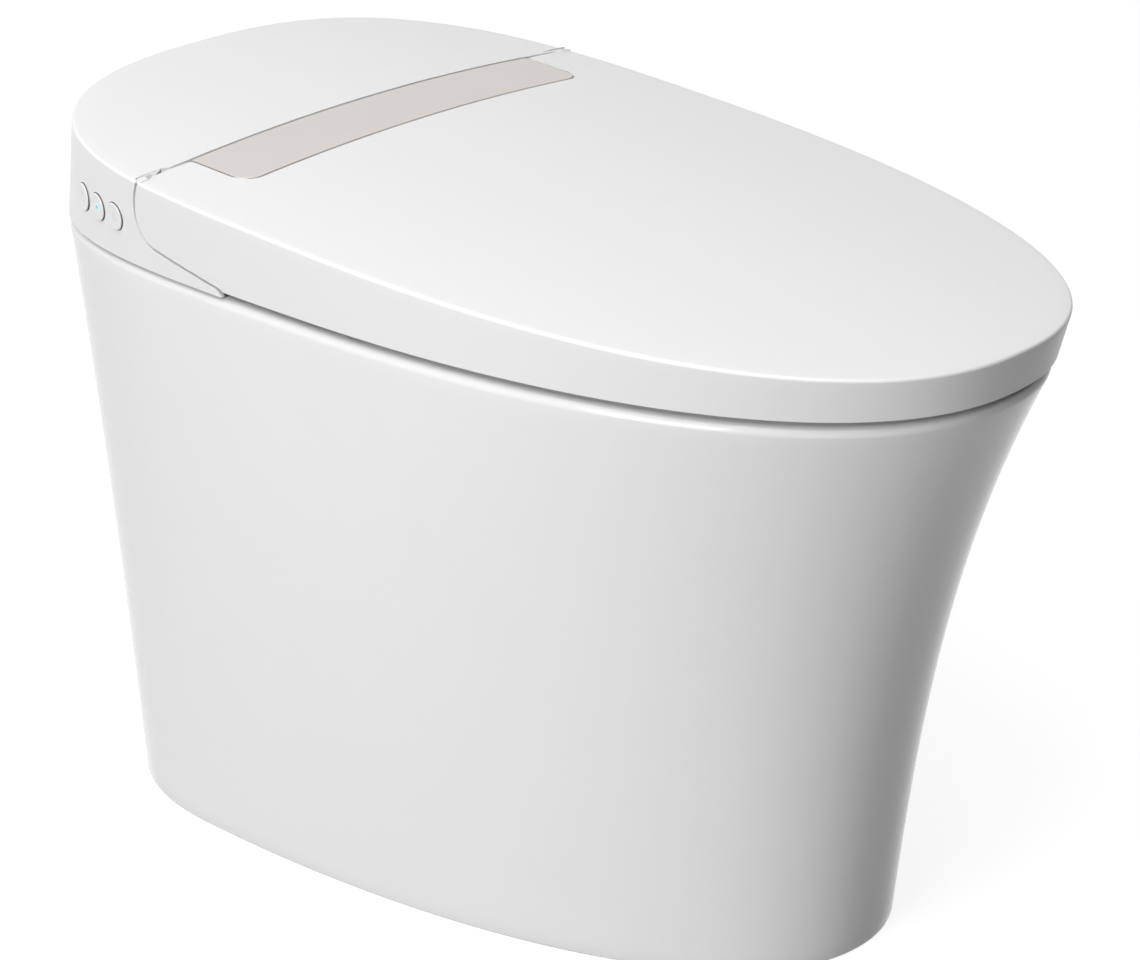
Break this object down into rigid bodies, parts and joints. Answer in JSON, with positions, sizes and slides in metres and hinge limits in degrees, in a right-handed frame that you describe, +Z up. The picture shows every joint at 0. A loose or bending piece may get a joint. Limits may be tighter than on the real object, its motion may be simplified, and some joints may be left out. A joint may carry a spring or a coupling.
{
  "type": "smart toilet with heated seat",
  "caption": "Skirted one-piece toilet with a flush lid over a heated seat, side push buttons, wash wands, air dryer and a metal trim strip.",
  "frame": {"origin": "on the floor, under the middle of the whole object", "axes": "+Z up; the bowl points along -Y; a seated user faces -Y, and the side buttons are on the -X side"},
  "size_m": [0.4046, 0.7039, 0.4795],
  "materials": {
    "glaze": "white glazed vitreous china, very glossy",
    "shell": "white moulded plastic, glossy",
    "seat_plastic": "white moulded plastic, satin gloss",
    "button_cap": "white moulded button, satin",
    "trim_metal": "warm champagne grey anodised sheet, fine satin",
    "grey_plastic": "grey moulded plastic",
    "dark_plastic": "black moulded plastic",
    "clear_wand": "pale grey plastic wand",
    "rubber": "grey rubber",
    "seal_rubber": "black rubber",
    "bumper_rubber": "pale soft rubber",
    "steel": "turned steel",
    "brass": "machined brass",
    "hose": "pale flexible hose",
    "board": "green circuit board",
    "foil": "heating foil on a film",
    "carbon": "black carbon filter",
    "led_lens": "cyan lit lens"
  },
  "bodies": {
    "root": {"ceramic_body": "glaze", "outlet_seal": "seal_rubber", "deck_gasket": "rubber", "chassis_plate": "grey_plastic", "deck_bolts": "grey_plastic", "rear_cover": "shell", "trim_plate": "trim_metal", "hinge_housing": "shell", "hinge_pins": "steel", "lid_damper": "dark_plastic", "seat_damper": "dark_plastic", "button_switches": "dark_plastic", "button_board": "board", "nozzle_housing": "grey_plastic", "wand_motors": "steel", "dryer_housing": "grey_plastic", "dryer_duct": "grey_plastic", "dryer_motor": "steel", "deodoriser_housing": "grey_plastic", "carbon_filter": "carbon", "heater_tank": "dark_plastic", "booster_pump": "dark_plastic", "solenoid_valve": "dark_plastic", "inlet_connector": "brass", "cable_gland": "dark_plastic", "power_supply": "steel", "control_tray": "dark_plastic", "control_board": "board", "inlet_hose": "hose", "wash_hose": "hose"},
    "seat": {"seat_top_shell": "seat_plastic", "seat_base_plate": "seat_plastic", "seat_heater": "foil", "seat_bumpers": "bumper_rubber", "seat_hinge_arms": "seat_plastic"},
    "lid": {"lid_shell": "shell", "lid_inner_panel": "shell", "lid_bumpers": "bumper_rubber"},
    "rear_wash_key": {"rear_wash_button": "button_cap"},
    "power_key": {"power_button": "button_cap", "power_led_lens": "led_lens"},
    "front_wash_key": {"front_wash_button": "button_cap"},
    "rear_wand": {"rear_wash_wand": "clear_wand"},
    "front_wand": {"front_wash_wand": "clear_wand"},
    "dryer_rotor": {"dryer_impeller": "dark_plastic"},
    "deodoriser_rotor": {"deodoriser_fan": "dark_plastic"},
    "duct_flap": {"dryer_flap": "shell"}
  },
  "joints": [
    {"name": "seat_hinge", "type": "hinge", "parent": "root", "child": "seat", "pos_m": [0, 0.1676, 0.45], "axis": [1, 0, 0], "range_deg": [-95, 0]},
    {"name": "lid_hinge", "type": "hinge", "parent": "seat", "child": "lid", "pos_m": [0, 0.1676, 0.45], "axis": [-1, 0, 0], "range_deg": [0, 98]},
    {"name": "rear_wash_press", "type": "slide", "parent": "root", "child": "rear_wash_key", "axis": [0.9813, -0.1775, 0.0744], "range_m": [0, 0.001], "stiffness_N_per_m": 900, "springref_m": -0.0005},
    {"name": "power_press", "type": "slide", "parent": "root", "child": "power_key", "axis": [0.9664, -0.2531, 0.0452], "range_m": [0, 0.001], "stiffness_N_per_m": 900, "springref_m": -0.0005},
    {"name": "front_wash_press", "type": "slide", "parent": "root", "child": "front_wash_key", "axis": [0.9362, -0.3513, 0.0079], "range_m": [0, 0.001], "stiffness_N_per_m": 900, "springref_m": -0.0005},
    {"name": "rear_wand_slide", "type": "slide", "parent": "root", "child": "rear_wand", "axis": [0, -0.8829, -0.4695], "range_m": [0, 0.095]},
    {"name": "front_wand_slide", "type": "slide", "parent": "root", "child": "front_wand", "axis": [0, -0.8829, -0.4695], "range_m": [0, 0.095]},
    {"name": "dryer_spin", "type": "hinge", "parent": "root", "child": "dryer_rotor", "pos_m": [0.092, 0.248, 0.42], "axis": [0, 0, 1], "continuous": true},
    {"name": "deodoriser_spin", "type": "hinge", "parent": "root", "child": "deodoriser_rotor", "pos_m": [-0.095, 0.236, 0.42], "axis": [0, 0, 1], "continuous": true},
    {"name": "flap_hinge", "type": "hinge", "parent": "root", "child": "duct_flap", "pos_m": [0.066, 0.09865, 0.36653], "axis": [-1, 0, 0], "range_deg": [0, 75], "stiffness_Nm_per_rad": 0.0006, "springref_deg": -57.3}
  ]
}
